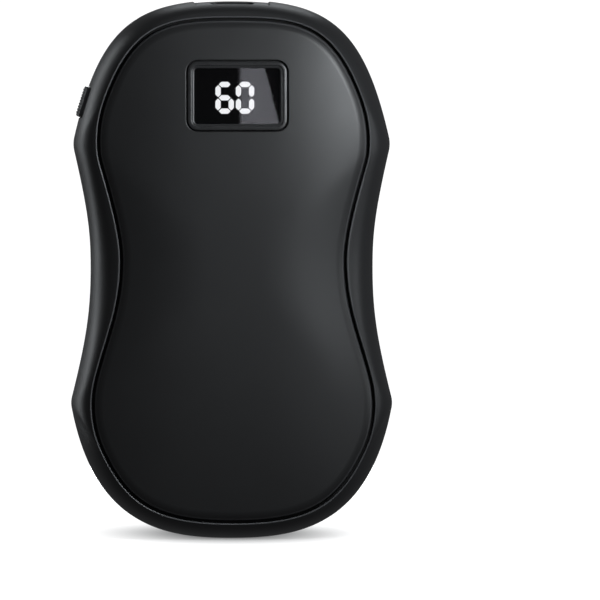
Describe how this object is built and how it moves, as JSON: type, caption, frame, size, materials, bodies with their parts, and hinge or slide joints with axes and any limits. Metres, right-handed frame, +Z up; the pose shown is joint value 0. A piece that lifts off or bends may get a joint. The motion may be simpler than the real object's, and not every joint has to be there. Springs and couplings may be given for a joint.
{
  "type": "rechargeable hand warmer",
  "caption": "Pocket hand warmer: waisted two-half case with crowned covers, digit display, ribbed side button, charging sockets in the top end, cells and heaters inside",
  "frame": {"origin": "under the middle of the case, level with the lowest point of its rounded foot", "axes": "+Z up the length towards the sockets, -Y out of the display's face, +X to the right when the display is looked at"},
  "size_m": [0.061, 0.025, 0.102],
  "materials": {
    "case_black": "matt black case plastic with a very fine texture",
    "cover_black": "soft-touch matt black",
    "bezel_black": "smooth satin black",
    "window_dark": "dark polished window",
    "display_black": "black display face",
    "white_plastic": "plain white plastic",
    "digits_lit": "lit white bars",
    "digits_dark": "unlit bars",
    "button_grey": "matt dark grey, ribbed",
    "chip_black": "moulded black",
    "spring_steel": "thin spring leaf",
    "panel_black": "satin black",
    "socket_steel": "plated sheet steel",
    "contact_gold": "gold-plated",
    "board_green": "green solder mask",
    "ferrite_grey": "moulded dark grey",
    "ceramic_tan": "ceramic",
    "screw_steel": "plated steel",
    "cell_wrap": "blue shrink wrap",
    "nickel": "nickel sheet",
    "paper": "insulating paper",
    "lead_red": "red insulation",
    "lead_black": "black insulation",
    "plate_aluminium": "plain sheet",
    "film_amber": "amber heater film",
    "foam_white": "closed-cell foam",
    "foam_dark": "dark foam"
  },
  "bodies": {
    "case": {"front_shell": "case_black", "rear_shell": "case_black", "front_cover": "cover_black", "rear_cover": "cover_black", "display_bezel": "bezel_black", "display_window": "window_dark", "display_module": "display_black", "display_holder": "white_plastic", "lit_segments": "digits_lit", "unlit_segments": "digits_dark", "switch_body": "chip_black", "switch_dome": "spring_steel", "port_panel": "panel_black", "usb_a_shell": "socket_steel", "usb_a_tongue": "white_plastic", "usb_a_contacts": "contact_gold", "usb_c_shell": "socket_steel", "usb_c_tongue": "chip_black", "main_board": "board_green", "controller_chip": "chip_black", "charger_chip": "chip_black", "power_inductor": "ferrite_grey", "board_capacitors": "ceramic_tan", "heater_connectors": "white_plastic", "board_screws": "screw_steel", "case_screws": "screw_steel", "left_cell": "cell_wrap", "right_cell": "cell_wrap", "cell_caps": "nickel", "cell_insulators": "paper", "top_nickel_strip": "nickel", "bottom_nickel_strip": "nickel", "positive_lead": "lead_red", "negative_lead": "lead_black", "front_heat_plate": "plate_aluminium", "rear_heat_plate": "plate_aluminium", "front_heater_film": "film_amber", "rear_heater_film": "film_amber", "front_foam_pad": "foam_white", "rear_foam_pad": "foam_white", "front_thermistor": "lead_black", "rear_thermistor": "lead_black", "cell_end_pad": "foam_dark"},
    "button": {"side_button": "button_grey", "switch_plunger": "white_plastic"}
  },
  "joints": [
    {"name": "button_press", "type": "slide", "parent": "case", "child": "button", "axis": [0.9547, 0, -0.2977], "range_m": [0, 0.0004], "stiffness_N_per_m": 2000, "deforming": ["switch_dome"]}
  ]
}
